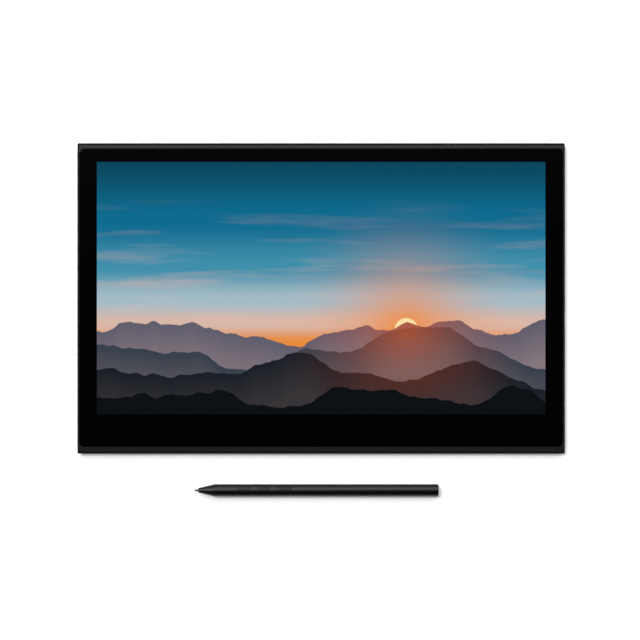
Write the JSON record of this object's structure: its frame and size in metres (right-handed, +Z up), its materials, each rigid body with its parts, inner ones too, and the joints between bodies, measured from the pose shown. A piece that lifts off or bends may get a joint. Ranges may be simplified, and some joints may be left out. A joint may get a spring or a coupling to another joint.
{
  "type": "pen display",
  "caption": "Slim flat pen display with a black glass front and a raised bay behind its far edge, a side power button, side sockets and a separate pen with side switches.",
  "frame": {"origin": "on the desk, under the middle of the box around the tablet and its pen", "axes": "+X right along the tablet's long side, +Y away from the user towards the far edge, +Z up from the desk"},
  "size_m": [0.3202, 0.2322, 0.0084],
  "materials": {
    "cover_glass": "polished, with a black printed border",
    "black_foam": "closed-cell foam",
    "clear_bond": "clear adhesive sheet",
    "display_panel": "lit panel",
    "board": "solder mask",
    "shield_metal": "tinned sheet",
    "frame_metal": "satin black coat on a light die casting",
    "cover_metal": "fine matte black coat on a light die casting",
    "chip_plastic": "moulded",
    "pad_rubber": "soft pad",
    "connector_plastic": "moulded",
    "flex_film": "amber film",
    "socket_steel": "drawn",
    "button_metal": "satin black coat",
    "foot_rubber": "matte",
    "screw_steel": "plated",
    "pen_plastic": "satin moulded",
    "nib_plastic": "moulded",
    "ferrite": "sintered",
    "copper": "enamelled wire",
    "bezel_plastic": "satin moulded",
    "switch_plastic": "satin moulded"
  },
  "bodies": {
    "tablet": {"cover_glass": "cover_glass", "glass_gasket": "black_foam", "optical_bond": "clear_bond", "display_panel": "display_panel", "panel_cushion": "black_foam", "digitizer_board": "board", "shield_sheet": "shield_metal", "mid_frame": "frame_metal", "rear_cover": "cover_metal", "main_board": "board", "board_chips": "chip_plastic", "shield_can": "shield_metal", "thermal_pad": "pad_rubber", "flex_connectors": "connector_plastic", "driver_board": "board", "driver_films": "flex_film", "display_cable": "flex_film", "digitizer_cable": "flex_film", "port_board_left": "board", "port_board_right": "board", "port_cable_left": "flex_film", "port_cable_right": "flex_film", "usb_shell_left": "socket_steel", "usb_shell_right": "socket_steel", "usb_tongue_left": "chip_plastic", "usb_tongue_right": "chip_plastic", "power_switch": "connector_plastic", "foot_far": "foot_rubber", "foot_near": "foot_rubber", "cover_screws": "screw_steel", "board_screws": "screw_steel"},
    "button": {"power_button": "button_metal"},
    "pen": {"pen_barrel": "pen_plastic", "pen_cone": "pen_plastic", "ferrite_core": "ferrite", "coil_winding": "copper", "pressure_sensor": "copper", "pen_carrier": "connector_plastic", "pen_board": "board", "switch_domes": "shield_metal", "pen_switch_bezel": "bezel_plastic"},
    "nib": {"pen_nib": "nib_plastic", "nib_holder": "connector_plastic"},
    "switch_front": {"pen_switch_front": "switch_plastic"},
    "switch_middle": {"pen_switch_middle": "switch_plastic"},
    "switch_rear": {"pen_switch_rear": "switch_plastic"},
    "end_cap": {"pen_end_cap": "pen_plastic", "spare_nibs": "nib_plastic"}
  },
  "joints": [
    {"name": "power_button_press", "type": "slide", "parent": "tablet", "child": "button", "axis": [1, 0, 0], "range_m": [0, 0.00025], "stiffness_N_per_m": 4000},
    {"name": "pen_lift", "type": "slide", "parent": "tablet", "child": "pen", "axis": [0, 0, 1], "range_m": [0, 0.15]},
    {"name": "nib_press", "type": "slide", "parent": "pen", "child": "nib", "axis": [1, 0, 0], "range_m": [0, 0.0004], "stiffness_N_per_m": 4000},
    {"name": "switch_front_press", "type": "slide", "parent": "pen", "child": "switch_front", "axis": [0, -0.3746, -0.9272], "range_m": [0, 0.0002], "stiffness_N_per_m": 3000},
    {"name": "switch_middle_press", "type": "slide", "parent": "pen", "child": "switch_middle", "axis": [0, -0.3746, -0.9272], "range_m": [0, 0.0002], "stiffness_N_per_m": 3000},
    {"name": "switch_rear_press", "type": "slide", "parent": "pen", "child": "switch_rear", "axis": [0, -0.3746, -0.9272], "range_m": [0, 0.0002], "stiffness_N_per_m": 3000},
    {"name": "end_cap_pull", "type": "slide", "parent": "pen", "child": "end_cap", "axis": [1, 0, 0], "range_m": [0, 0.03]}
  ]
}
